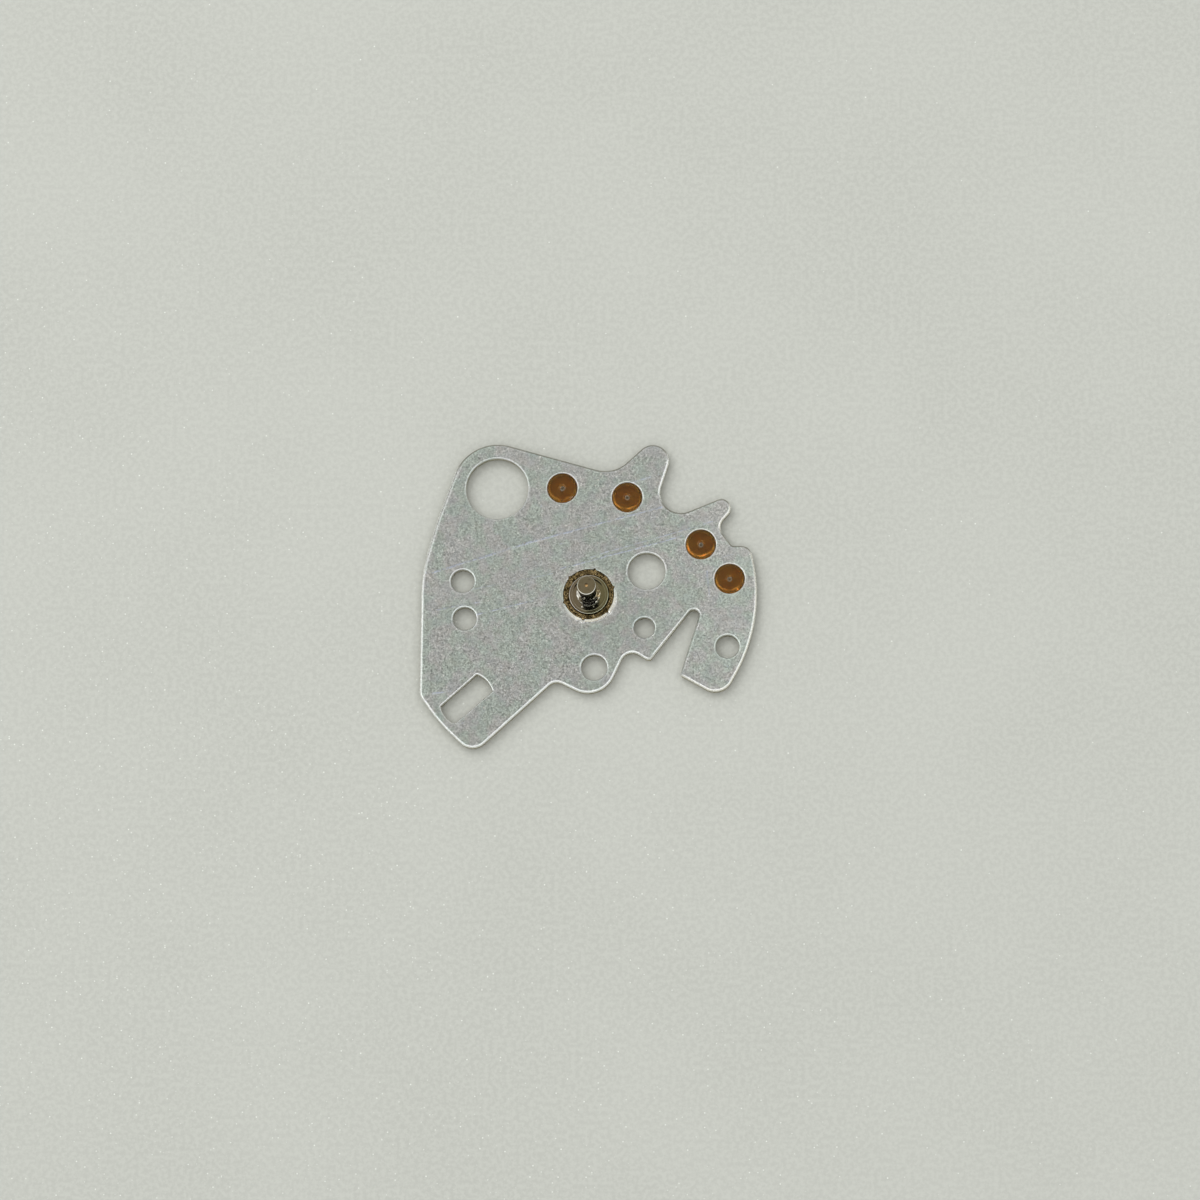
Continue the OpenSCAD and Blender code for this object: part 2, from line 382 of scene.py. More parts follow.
    rows += [(ri + 0.002, T - 0.0265 + 0 * e, 0 * e), (rw, T - 0.0275 + 0 * e, 0 * e), (rw, 0.375 + 0 * e, 0 * e), (r0 + e, 0.365 + 0 * e, 0 * e),
             (r0 + e, 0.25 + 0 * e, 0 * e), (r0 + e, 0.02 + 0 * e, 0 * e), (r0 + e + 0.012, 0 * e, 0 * e), (r0 + e + 0.05, 0 * e, 0 * e)]
    rings = []
    for i, (rr, zz, e) in enumerate(rows):
        rings.append(b.ring(u * rr[:, None], zz, edge=e, wall=1 if 10 <= i <= 15 else 0, along=t))
    for p, q in zip(rings, rings[1:]):
        b.band(p, q)
    top_loops.append(rings[0]); low_loops.append(rings[-1])

    b.cap(top_loops, T, grid=0.13, up=True, margin=0.06)
    b.cap(low_loops, 0.0, grid=0.35, up=False, margin=0.12)

    loops = np.array([b.v[i][:2] for l in top_loops for i in l])

    def shift(v):
        """The flat top isn't quite flat: a hardly visible swell."""
        up = v[:, 2] > 0.39
        for i in np.nonzero(up)[0]:
            x, y, z = v[i]
            w = noise.noise(Vector((x * 0.42, y * 0.42, 0.3))) + 0.5 * noise.noise(Vector((x * 1.1, y * 1.1, 7.3)))
            v[i, 2] = z - 0.0028 * (0.75 + 0.5 * w)
        return v

    return b.make("bridge_plate_skin", sharp=50, shift=shift)


# ---------------------------------------------------------------- jewels
def build_jewel(node, x, y, chip=None, shine=0.5, spot=None):
    r, z0, z1 = JEWEL_R + 0.007, 0.10, 0.46
    prof = [(0.095, z0), (0.30, z0), (0.520, z0), (0.531, z0 + 0.002), (r - 0.003, z0 + 0.062), (r, z0 + 0.070)]
    prof += [(r, z0 + 0.13), (r, z0 + 0.24), (r, z1 - 0.024)]
    for k in range(1, 5):
        t = math.radians(90 * k / 4)
        prof.append((r - 0.020 * (1 - math.cos(t)), z1 - 0.020 + 0.020 * math.sin(t) - 0.0003))
    prof += [(q, z1) for q in (0.565, 0.545, 0.525, 0.505, 0.485, 0.465, 0.445, 0.425, 0.400, 0.30, 0.20, 0.165)] + [(0.152, z1 - 0.0006)]
    for k in range(0, 5):                            # the oil sink, with a nearly flat bottom
        t = math.radians(80 - 76 * k / 4)
        prof.append((0.138 + 0.012 * math.sin(t), z1 - 0.0270 + 0.0255 * (1 - math.cos(t)) - 0.0005 * k))
    prof += [(0.115, z1 - 0.0294), (0.090, z1 - 0.0298), (0.0755, z1 - 0.0302), (0.0705, z1 - 0.0318), (0.070, z1 - 0.036), (0.070, 0.24), (0.070, z0 + 0.016), (0.078, z0 + 0.004)]

    def wobble(rr, z, deg):
        dr = dz = 0.0
        if chip and z > z1 - 0.12 and rr > 0.45:
            d = abs((deg - chip[0] + 180) % 360 - 180)
            if d < chip[1]:
                k = (1 + math.cos(math.pi * d / chip[1])) / 2
                dr = -0.055 * k * max(0.0, (rr - 0.45) / 0.15)
                dz = -0.045 * k * max(0.0, (rr - 0.45) / 0.15)
        return dr, dz

    ob = lathe(node + "_stone", prof, at=(x, y), n=96, closed=True, sharp=28, wobble=wobble)
    v = np.array([q.co for q in ob.data.vertices]) * 1000.0
    rr = np.hypot(v[:, 0] - x, v[:, 1] - y)
    aside = np.hypot(v[:, 0] - x - 0.004, v[:, 1] - y + 0.022)       # its painted grey lies a little to one side
    sink = np.where(v[:, 2] > z1 - 0.05, np.clip((0.138 - aside) / 0.065, 0, 1), 0.8 * (rr < 0.08))
    # painted rim light on the lower chamfer, painted shade on the upper rim's rounding
    down = (-(v[:, 1] - y) - 0.80 * (v[:, 0] - x)) / np.maximum(rr, 1e-6)
    painted_rim_light_shade = ((rr > 0.525) & (v[:, 2] < z0 + 0.08)).astype(np.float32) * np.clip(1.3 * down, -1, 1)
    painted_rim_light_shade += ((rr > 0.58) & (v[:, 2] > z1 - 0.03)).astype(np.float32) * np.clip(1.6 * down, -1, 0)
    # painted light: the lit arc inside the lower left rim, broken here and there
    ang = np.degrees(np.arctan2(v[:, 1] - y, v[:, 0] - x)) % 360
    mid = np.interp(ang, [170, 200, 225, 250, 300, 325, 345], [0.540, 0.527, 0.505, 0.478, 0.460, 0.500, 0.527])
    arc = np.interp(ang, [160, 190, 215, 240, 262, 288, 304, 320, 345, 359], [0, 0.60, 1.0, 0.75, 0.60, 1.0, 0.60, 0.45, 0.45, 0])
    arc = arc * np.clip(1.0 - np.abs(rr - mid) / 0.055, 0, 1) * (v[:, 2] > z1 - 0.03)
    arc = arc * np.array([min(1.3, max(0.15, 0.9 + 1.3 * noise.noise(Vector((px * 5, py * 5, 2.2))))) for px, py in v[:, :2]])
    arc = arc * shine
    if spot:                                          # a small painted glint at the rim
        d = np.hypot(v[:, 0] - x - 0.545 * math.cos(math.radians(spot)), v[:, 1] - y - 0.545 * math.sin(math.radians(spot)))
        arc = np.maximum(arc, np.clip(1.6 - d / 0.035, 0, 1) * (v[:, 2] > z1 - 0.03))
    bore = ((rr < 0.08) & (v[:, 2] < z1 - 0.0305)).astype(np.float32)
    for k, a in (("sink", sink), ("painted_rim_light_shade", painted_rim_light_shade), ("arc", arc), ("bore", bore)):
        at = ob.data.attributes.new(k, "FLOAT", "POINT")
        at.data.foreach_set("value", a.astype(np.float32))
    return ob


# ---------------------------------------------------------------- collar
def build_collar():
    top = 0.47
    prof = [(0.552, 0.0), (0.80, 0.0), (0.985, 0.0), (1.005, 0.004), (1.018, 0.018), (1.019, 0.12), (1.019, 0.25),
            (1.019, 0.36), (1.019, 0.385), (1.019, top - 0.024), (1.015, top - 0.010), (1.004, top - 0.003), (0.985, top), (0.965, top - 0.001),
            (0.948, top - 0.007), (0.936, top - 0.020), (0.922, top - 0.028), (0.904, top - 0.026),
            (0.890, top - 0.012), (0.876, top - 0.002), (0.858, top), (0.838, top - 0.003), (0.824, top - 0.014),
            (0.817, top - 0.028), (0.808, top - 0.040), (0.800, top - 0.052), (0.7935, top - 0.075), (0.7925, 0.34),
            (0.7925, 0.243), (0.70, 0.2395), (0.60, 0.2395), (0.552, 0.2395), (0.552, 0.12)]

    def radius(r, deg):
        if r < 0.93:
            return r
        k = (r - 0.93) / 0.085
        return r + (rib_radius(deg) - COLLAR_R) * min(1.0, k ** 1.5) - (0.002 if r > 1.01 else 0.0)

    def wobble(r, z, deg):
        if z < 0.37 or r < 0.797:
            return 0.0, 0.0
        x, y = r * math.cos(math.radians(deg)), r * math.sin(math.radians(deg))
        a = noise.noise(Vector((x * 7, y * 7, 2.0)))
        c = noise.noise(Vector((x * 19, y * 19, 9.0)))
        dz = -0.009 * (0.6 + a) - 0.007 * (0.5 + c)
        dr = -0.006 * max(0.0, a + 0.4 * c) if r > 0.95 else 0.003 * c
        if r > 0.93:                             # wider towards the upper left
            dr += 0.024 * max(0.0, math.cos(math.radians(deg - 112))) * min(1.0, (r - 0.93) / 0.06)
        return dr, min(0.0, dz)

    ob = lathe("post_collar_ribbed", prof, n=360, closed=True, sharp=0, radius=radius, wobble=wobble)
    return ob


# ---------------------------------------------------------------- post
def arc(cx, cz, r, a0, a1, k):
    return [(cx + r * math.cos(math.radians(a0 + (a1 - a0) * i / k)), cz + r * math.sin(math.radians(a0 + (a1 - a0) * i / k)))
            for i in range(k + 1)]


def build_post():
    ft = 0.57
    prof = [(0.0, 0.0), (0.20, 0.0), (0.45, 0.0), (0.525, 0.001), (0.549, 0.018), (0.549, 0.12), (0.549, 0.238),
            (0.60, 0.2405), (0.75, 0.2405), (0.780, 0.246), (0.7900, 0.262), (0.7900, 0.40), (0.7900, ft - 0.045)]
    prof += arc(0.7900 - 0.028, ft - 0.030, 0.028, 8, 90, 7)           # flange's upper edge
    prof += [(0.735, ft - 0.002), (0.690, ft - 0.002)]
    prof += arc(0.676, ft - 0.010, 0.008, 88, 10, 3)
    prof += [(0.678, ft - 0.026)]
    prof += [(0.668, ft - 0.030), (0.600, ft - 0.030), (0.540, ft - 0.030)]
    prof += [(0.4775, ft - 0.030), (0.4745, ft - 0.027)]                # foot of the boss
    prof += [(0.4745, ft + 0.02), (0.4745, ft + 0.085), (0.4745, ft + 0.130), (0.4744, ft + 0.1475)]
    prof += [(0.4720, ft + 0.1499)]                   # boss's upper edge
    prof += [(0.448, ft + 0.1500), (0.400, ft + 0.1500), (0.377, ft + 0.1500)]
    prof += [(0.3755, ft + 0.1520)]                # foot of the pin
    prof += [(0.375, 0.80), (0.375, 1.10), (0.375, 1.50), (0.375, 1.90), (0.375, 2.28), (0.375, 2.352)]
    prof += arc(0.363, 2.364, 0.012, 6, 46, 4)
    prof += arc(0.340, 2.385, 0.0148, 47, 88, 5)
    prof += [(0.325, 2.3997), (0.22, 2.3990), (0.12, 2.3984), (0.060, 2.3980), (0.046, 2.3970), (0.030, 2.3935), (0.015, 2.3915), (0.0, 2.3910)]

    dents = [(200, 15, 0.060), (176, 9, 0.030), (-4, 10, 0.050), (-24, 8, 0.055), (-46, 8, 0.045), (-128, 8, 0.020), (62, 14, 0.015)]

    def wobble(r, z, deg):
        """The boss's upper edge has worn spots, and is sharp between them."""
        c = 0.0
        for at, wide, size in dents:
            d = abs((deg - at + 180) % 360 - 180)
            if d < wide:
                c += size * 0.5 * (1 + math.cos(math.pi * d / wide))
        if r > 0.32 and z > 2.35:                # the pin's upper edge is broken more on one side
            q = 0.5 + 0.5 * math.cos(math.radians(deg - 235))
            f = 0.30 + 0.70 * min(1.0, 1.6 * q) + 0.12 * noise.noise(Vector((math.cos(math.radians(deg)) * 3, math.sin(math.radians(deg)) * 3, 0.5)))
            return (0.375 - r) * (1 - f), (2.40 - z) * (1 - f)
        if abs(z - (ft + 0.1475)) < 1e-6:
            return 0.0, -0.52 * c
        if abs(z - (ft + 0.1499)) < 1e-6:
            return -c, 0.0
        if abs(z - (ft + 0.1500)) < 1e-6 and r > 0.44:
            return -0.4 * c, 0.0
        return 0.0, 0.0

    return lathe("rotor_post_turned", prof, n=180, sharp=32, wobble=wobble)


# ---------------------------------------------------------------- materials
class Tree:
    def __init__(self, name):
        self.mat = bpy.data.materials.new(name)
        self.mat.use_nodes = True
        self.t = self.mat.node_tree
        self.bsdf = next(n for n in self.t.nodes if n.type == "BSDF_PRINCIPLED")
        co = self.t.nodes.new("ShaderNodeTexCoord")
        self.p = self.vmath("SCALE", co.outputs["Object"], scale=1000.0)    # millimetres

    def new(self, kind):
        return self.t.nodes.new(kind)

    def link(self, a, b):
        self.t.links.new(a, b)

    def put(self, sock, val):
        if hasattr(val, "links") or isinstance(val, bpy.types.NodeSocket):
            self.link(val, sock)
        else:
            sock.default_value = val

    def math(self, op, a, b=None, c=None, clamp=False):
        n = self.new("ShaderNodeMath"); n.operation = op; n.use_clamp = clamp
        self.put(n.inputs[0], a)
        if b is not None: self.put(n.inputs[1], b)
        if c is not None: self.put(n.inputs[2], c)
        return n.outputs[0]

    def vmath(self, op, a, b=None, scale=None):
        n = self.new("ShaderNodeVectorMath"); n.operation = op
        self.put(n.inputs[0], a)
        if b is not None: self.put(n.inputs[1], b)
        if scale is not None: self.put(n.inputs["Scale"], scale)
        return n.outputs["Value"] if op in ("LENGTH", "DOT_PRODUCT", "DISTANCE") else n.outputs[0]

    def noise(self, scale, detail=2.0, rough=0.5, vec=None, dist=0.0):
        n = self.new("ShaderNodeTexNoise")
        n.inputs["Scale"].default_value = scale
        n.inputs["Detail"].default_value = detail
        n.inputs["Roughness"].default_value = rough
        n.inputs["Distortion"].default_value = dist
        self.link(vec or self.p, n.inputs["Vector"])
        return n.outputs["Fac"]

    def cells(self, scale, vec=None, feature="F1"):
        n = self.new("ShaderNodeTexVoronoi")
        n.feature = feature
        n.inputs["Scale"].default_value = scale
        self.link(vec or self.p, n.inputs["Vector"])
        return n

    def map(self, x, a, b, c=0.0, d=1.0, smooth=True):
        n = self.new("ShaderNodeMapRange")
        n.interpolation_type = "SMOOTHSTEP" if smooth else "LINEAR"
        self.put(n.inputs["Value"], x)
        n.inputs["From Min"].default_value = a; n.inputs["From Max"].default_value = b
        n.inputs["To Min"].default_value = c; n.inputs["To Max"].default_value = d
        return n.outputs["Result"]

    def mix(self, fac, a, b, mode="MIX"):
        n = self.new("ShaderNodeMix"); n.data_type = "RGBA"; n.blend_type = mode
        self.put(n.inputs["Factor"], fac)
        for s, v in ((n.inputs[6], a), (n.inputs[7], b)):
            self.put(s, v if not isinstance(v, tuple) else (*v, 1.0))
        return n.outputs[2]

    def attr(self, name):
        n = self.new("ShaderNodeAttribute"); n.attribute_name = name
        return n.outputs["Fac"]

    def xyz(self, v=None):
        n = self.new("ShaderNodeSeparateXYZ"); self.link(v or self.p, n.inputs[0])
        return n.outputs

    def join(self, x, y, z):
        n = self.new("ShaderNodeCombineXYZ")
        for s, v in zip(n.inputs, (x, y, z)): self.put(s, v)
        return n.outputs[0]

    def bump(self, height, dist, strength=1.0, normal=None):
        n = self.new("ShaderNodeBump")
        n.inputs["Strength"].default_value = strength
        n.inputs["Distance"].default_value = dist
        self.link(height, n.inputs["Height"])
        if normal is not None: self.link(normal, n.inputs["Normal"])
        return n.outputs["Normal"]

    def streak(self, p, a, b, width):
        """1 on the line from a to b (mm), falling to 0 at width from it."""
        a, b = Vector((*a, 0.0)), Vector((*b, 0.0))
        d = b - a
        rel = self.vmath("SUBTRACT", p, tuple(a))
        t = self.math("DIVIDE", self.vmath("DOT_PRODUCT", rel, tuple(d)), d.length_squared, clamp=True)
        near = self.vmath("SCALE", tuple(d), scale=t)
        dist = self.vmath("LENGTH", self.vmath("SUBTRACT", rel, near))
        return self.map(dist, 0.0, width, 1.0, 0.0)


def plate_material():
    m = Tree("plate_blasted_nickel")
    x, y, z = m.xyz()
    flat = m.join(x, y, 0.0)
    grain = m.noise(13.5, 2.0, 0.6)
    fine = m.noise(38.0, 2.0, 0.6)
    mid = m.noise(4.0, 3.0, 0.6)
    big = m.noise(0.5, 2.0, 0.5)
    cell = m.cells(20.0)
    rnd = m.new("ShaderNodeSeparateColor"); m.link(cell.outputs["Color"], rnd.inputs[0])
    cell2 = m.cells(8.5)
    rnd2 = m.new("ShaderNodeSeparateColor"); m.link(cell2.outputs["Color"], rnd2.inputs[0])
    edge, wall, along = m.attr("edge"), m.attr("wall"), m.attr("along")
    face = m.math("SUBTRACT", 1.0, m.math("MULTIPLY", edge, 0.85))

    # base colour: blasted grain, mottling and slow drift
    g = m.math("MULTIPLY", m.math("SUBTRACT", grain, 0.5), 1.13)
    g = m.math("ADD", g, m.math("MULTIPLY", m.math("SUBTRACT", rnd.outputs[0], 0.5), 0.46))
    g = m.math("ADD", g, m.math("MULTIPLY", m.math("SUBTRACT", fine, 0.5), 0.58))
    g = m.math("ADD", g, m.math("MULTIPLY", m.math("SUBTRACT", mid, 0.5), 0.24))
    g = m.math("MULTIPLY", g, face)
    lift = m.map(g, -0.55, 0.55, 0.0, 1.0, smooth=False)
    col = m.mix(lift, (0.198, 0.221, 0.213), (0.880, 0.924, 0.886))
    col = m.mix(m.map(big, 0.35, 0.65, 0.0, 0.22), col, (0.545, 0.58, 0.558))
    cool = m.map(m.noise(1.6, 3.0, 0.6), 0.44, 0.66, 0.0, 0.25)
    col = m.mix(cool, col, (0.465, 0.52, 0.548))
    warm = m.map(m.noise(2.3, 3.0, 0.6, vec=m.vmath("ADD", m.p, (7.0, 3.0, 0.0))), 0.48, 0.70, 0.0, 0.22)
    col = m.mix(warm, col, (0.54, 0.51, 0.46))

    # faint stains, some reddish and some greenish, and a little more light towards the right
    stain = m.map(m.noise(1.5, 2.0, 0.5, vec=m.vmath("ADD", m.p, (3.0, 9.0, 0.0))), 0.40, 0.60)
    col = m.mix(1.0, col, m.mix(stain, (1.034, 0.988, 1.020), (0.966, 1.012, 0.985)), mode="MULTIPLY")
    col = m.mix(1.0, col, m.mix(m.map(x, 1.5, 6.5, 0.0, 1.0), (1.0, 1.0, 1.0), (1.13, 1.13, 1.13)), mode="MULTIPLY")

    # burnished by the pressing round the collar
    halo = m.math("MULTIPLY", m.map(m.vmath("LENGTH", flat), 1.16, 1.42, 1.0, 0.0), m.map(z, 0.40, 0.45))
    col = m.mix(1.0, col, m.mix(halo, (1.0, 1.0, 1.0), (1.15, 1.15, 1.14)), mode="MULTIPLY")

    # long scratches that lean the same way, broken along their length
    wn = m.new("ShaderNodeTexNoise"); wn.inputs["Scale"].default_value = 1.3
    m.link(m.p, wn.inputs["Vector"])
    warp = m.vmath("SCALE", m.vmath("SUBTRACT", wn.outputs["Color"], (0.5, 0.5, 0.5)), scale=0.08)
    brk = m.math("MULTIPLY", m.map(m.noise(1.9, 2.0, 0.6), 0.40, 0.54, 0.32, 1.10), m.map(m.noise(9.0, 3.0, 0.7), 0.38, 0.56, 0.25, 1.45))
    pw = m.vmath("MULTIPLY", m.vmath("ADD", flat, warp), (1.0, 1.0, 0.0))
    lines = [((-6.27, 0.90), (-2.35, 2.14), 0.060, 0.80), ((-2.67, 2.06), (2.89, 3.58), 0.055, 0.95),
             ((-1.15, 1.06), (3.69, 2.38), 0.045, 0.85), ((-0.07, 1.50), (4.93, 2.98), 0.040, 0.50),
             ((1.69, 4.58), (2.41, 4.80), 0.060, 0.70), ((-4.51, -0.82), (-1.67, -0.10), 0.045, 0.60),
             ((-6.19, -4.02), (-5.51, -3.93), 0.055, 0.70), ((-6.07, -0.62), (-4.37, -0.30), 0.045, 0.50),
             ((-5.27, 0.10), (-1.47, 0.86), 0.030, 0.35), ((4.73, 0.95), (4.83, -0.10), 0.055, 0.45)]
    scr = None
    for a, b, w, k in lines:
        one = m.math("MULTIPLY", m.streak(pw, a, b, w * 1.18), k)
        scr = one if scr is None else m.math("MAXIMUM", scr, one)
    scr = m.math("MULTIPLY", scr, brk, clamp=True)
    ang = math.radians(16)
    rx = m.math("ADD", m.math("MULTIPLY", x, math.cos(ang)), m.math("MULTIPLY", y, math.sin(ang)))
    ry = m.math("SUBTRACT", m.math("MULTIPLY", y, math.cos(ang)), m.math("MULTIPLY", x, math.sin(ang)))
    hair = m.noise(1.0, 2.0, 0.6, vec=m.join(m.math("MULTIPLY", rx, 0.55), m.math("MULTIPLY", ry, 15.0), z))
    hair = m.math("MULTIPLY", m.map(hair, 0.66, 0.74), m.map(m.noise(1.1, 2.0), 0.5, 0.66))
    # short curved hairlines
    curl = m.math("ABSOLUTE", m.math("SUBTRACT", m.noise(2.6, 1.0, 0.5, vec=m.vmath("ADD", flat, (5.0, 1.0, 0.0))), 0.5))
    curl = m.math("MULTIPLY", m.map(curl, 0.0015, 0.0065, 1.0, 0.0), m.map(m.noise(2.1, 2.0, 0.6, vec=m.vmath("ADD", flat, (1.0, 8.0, 0.0))), 0.56, 0.62))
    hair = m.math("MAXIMUM", m.math("MULTIPLY", hair, 0.45), m.math("MULTIPLY", curl, 0.36))
    scr = m.math("MULTIPLY", m.math("MAXIMUM", scr, hair), m.map(z, 0.3, 0.45))
    col = m.mix(m.math("MULTIPLY", scr, 0.95), col, (0.74, 0.81, 0.97))

    # glints and pits of the blasting
    size = m.map(rnd2.outputs[0], 0.62, 0.72, 0.28, 0.45)
    spark = m.math("MULTIPLY", m.map(rnd2.outputs[1], 0.900, 0.910), m.map(m.math("DIVIDE", cell2.outputs["Distance"], size), 0.20, 1.0, 1.0, 0.0))
    spark = m.math("MULTIPLY", spark, face)
    col = m.mix(m.math("MULTIPLY", spark, 0.97), col, (1.0, 1.0, 0.98))
    pit = m.math("MULTIPLY", m.map(rnd2.outputs[2], 0.955, 0.965), m.map(cell2.outputs["Distance"], 0.05, 0.28, 1.0, 0.0))
    pit = m.math("MULTIPLY", pit, face)
    col = m.mix(m.math("MULTIPLY", pit, 0.35), col, (0.24, 0.24, 0.22))

    # the rolled edges are burnished; the walls are drawn in their upper part and torn below
    shine = m.math("MULTIPLY", edge, m.map(m.math("ADD", m.math("MULTIPLY", grain, 0.5), m.math("MULTIPLY", m.noise(6.0, 3.0, 0.65), 0.5)), 0.34, 0.50, 0.45, 1.0))
    col = m.mix(shine, col, m.mix(m.map(x, 2.0, 5.0), (0.985, 0.990, 0.985), (1.0, 0.975, 0.915)))
    # painted shade: a dark band on the edges that face +Y and on the slot's flank
    painted_edge_shade_col = m.math("MULTIPLY", m.attr("dull"), m.map(m.noise(5.0, 3.0, 0.6), 0.30, 0.60, 0.70, 1.0))
    col = m.mix(painted_edge_shade_col, col, (0.400, 0.385, 0.330))
    onwall = m.map(wall, 0.3, 0.9)
    torn = m.map(wall, 1.3, 1.8)
    draw = m.noise(1.0, 3.0, 0.7, vec=m.join(m.math("MULTIPLY", along, 34.0), m.math("MULTIPLY", z, 2.5), 0.0))
    wcol = m.mix(m.map(draw, 0.3, 0.7), (0.37, 0.345, 0.25), (0.65, 0.62, 0.49))
    grit = m.noise(30.0, 3.0, 0.7)
    tcol = m.mix(m.map(grit, 0.3, 0.7), (0.25, 0.23, 0.16), (0.54, 0.50, 0.385))
    col = m.mix(onwall, col, m.mix(torn, wcol, tcol))
    m.link(col, m.bsdf.inputs["Base Color"])
    m.bsdf.inputs["Metallic"].default_value = 1.0

    r = m.math("ADD", m.map(rnd.outputs[1], 0.0, 1.0, 0.42, 0.56, smooth=False), m.math("MULTIPLY", m.math("SUBTRACT", grain, 0.5), 0.20))
    r = m.math("SUBTRACT", r, m.math("MULTIPLY", spark, 0.10))
    r = m.math("SUBTRACT", r, m.math("MULTIPLY", scr, 0.12))
    r = m.math("SUBTRACT", r, m.math("MULTIPLY", shine, 0.27))
    r = m.math("ADD", r, m.math("MULTIPLY", torn, 0.10), clamp=True)
    m.link(r, m.bsdf.inputs["Roughness"])

    n1 = m.bump(m.math("MULTIPLY", fine, face), 2.2e-6)
    n2 = m.bump(m.math("MULTIPLY", m.math("ADD", grain, m.math("MULTIPLY", rnd.outputs[2], 0.2)), face), 3.0e-6, normal=n1)
    n3 = m.bump(m.math("MULTIPLY", scr, -1.0), 2.5e-6, normal=n2)
    h4 = m.math("MULTIPLY", m.math("ADD", m.math("MULTIPLY", draw, m.math("SUBTRACT", 1.0, torn)), m.math("MULTIPLY", grit, torn)), onwall)
    n4 = m.bump(h4, 9.0e-6, normal=n3)
    m.link(n4, m.bsdf.inputs["Normal"])
    return m.mat


def ruby_material():
    m = Tree("ruby_amber")
    x, y, z = m.xyz()
    cloud = m.noise(2.6, 3.0, 0.55, dist=0.6)
    fleck = m.noise(17.0, 2.0, 0.6)
    col = m.mix(m.map(cloud, 0.3, 0.7), (0.99, 0.440, 0.058), (1.0, 0.600, 0.108))
    col = m.mix(m.map(fleck, 0.35, 0.70, 0.0, 0.35), col, (0.66, 0.22, 0.022))
    sink, painted_rim_light_shade = m.attr("sink"), m.attr("painted_rim_light_shade")
    # painted rim light: brighter orange on the lower chamfer; painted shade: dark red on the upper rim
    col = m.mix(m.math("MULTIPLY", m.map(painted_rim_light_shade, 0.0, 1.0, smooth=False), m.map(cloud, 0.35, 0.6, 0.5, 1.0)), col, (1.0, 0.50, 0.085))
    col = m.mix(m.map(painted_rim_light_shade, 0.0, -1.0, 0.0, 0.6, smooth=False), col, (0.16, 0.055, 0.008))
    # painted light: the lit arc and the rim glint, orange and less clear
    lit = m.math("MULTIPLY", m.attr("arc"), m.map(fleck, 0.30, 0.60, 0.6, 1.1), clamp=True)
    col = m.mix(lit, col, (1.0, 0.27, 0.035))
    # painted light: grey in the oil sink and on the bore's wall, for the floor seen through the pivot hole
    col = m.mix(m.math("MULTIPLY", sink, 0.85), col, (0.28, 0.32, 0.31))
    bore = m.attr("bore")
    col = m.mix(bore, col, (0.62, 0.62, 0.57))
    m.link(col, m.bsdf.inputs["Base Color"])
    m.bsdf.inputs["Metallic"].default_value = 0.0
    m.bsdf.inputs["Transmission Weight"].default_value = 0.978
    m.link(m.math("SUBTRACT", 0.978, m.math("ADD", m.math("ADD", m.math("MULTIPLY", lit, 0.45), m.math("MULTIPLY", bore, 0.48)), m.math("MULTIPLY", sink, 0.055)), clamp=True), m.bsdf.inputs["Transmission Weight"])
    m.bsdf.inputs["IOR"].default_value = 1.76
    r = m.math("ADD", m.map(m.noise(9.0, 2.0), 0.3, 0.7, 0.02, 0.07), m.math("MULTIPLY", sink, 0.36))
    m.link(r, m.bsdf.inputs["Roughness"])
    n1 = m.bump(m.noise(14.0, 2.0, 0.6), 0.8e-6)
    m.link(n1, m.bsdf.inputs["Normal"])
    return m.mat


def collar_material():
    m = Tree("collar_stained_brass")
    x, y, z = m.xyz()
    rad = m.vmath("LENGTH", m.join(x, y, 0.0))
    ux, uy = m.math("DIVIDE", x, rad), m.math("DIVIDE", y, rad)
    a = m.noise(1.0, 3.0, 0.60, vec=m.join(m.math("MULTIPLY", ux, 5.5), m.math("MULTIPLY", uy, 5.5), m.math("MULTIPLY", rad, 13.0)), dist=0.6)
    b = m.noise(12.0, 3.0, 0.62)
    c = m.noise(27.0, 2.0, 0.6)
    turn = m.noise(1.0, 2.0, 0.6, vec=m.join(m.math("MULTIPLY", rad, 26.0), 0.0, 0.0))
    col = m.mix(m.map(a, 0.36, 0.62), (0.046, 0.032, 0.013), (0.240, 0.168, 0.072))
    col = m.mix(m.map(turn, 0.45, 0.65, 0.0, 0.4), col, (0.105, 0.075, 0.030))
    col = m.mix(m.map(b, 0.52, 0.62, 0.0, 0.85), col, (0.42, 0.315, 0.150))
    col = m.mix(m.map(b, 0.38, 0.48, 0.85, 0.0), col, (0.020, 0.015, 0.007))
    ring = m.math("MULTIPLY", m.map(rad, 0.855, 0.885), m.map(rad, 0.930, 0.905))
    ring = m.math("MAXIMUM", ring, m.math("MAXIMUM", m.map(rad, 0.815, 0.795), m.map(rad, 0.985, 1.010)))
    col = m.mix(m.math("MULTIPLY", ring, m.map(b, 0.40, 0.62, 0.85, 0.35)), col, (0.024, 0.018, 0.008))
    gold = m.math("MULTIPLY", m.map(c, 0.57, 0.63), m.map(a, 0.44, 0.56))
    col = m.mix(gold, col, (0.86, 0.66, 0.36))
    m.link(col, m.bsdf.inputs["Base Color"])
    m.bsdf.inputs["Metallic"].default_value = 1.0
    r = m.math("ADD", m.map(b, 0.3, 0.7, 0.40, 0.16), m.math("MULTIPLY", a, 0.12))
    m.link(r, m.bsdf.inputs["Roughness"])
    n1 = m.bump(c, 10.0e-6)
    n2 = m.bump(b, 30.0e-6, normal=n1)
    n3 = m.bump(turn, 3.0e-6, normal=n2)
    m.link(n3, m.bsdf.inputs["Normal"])
    return m.mat


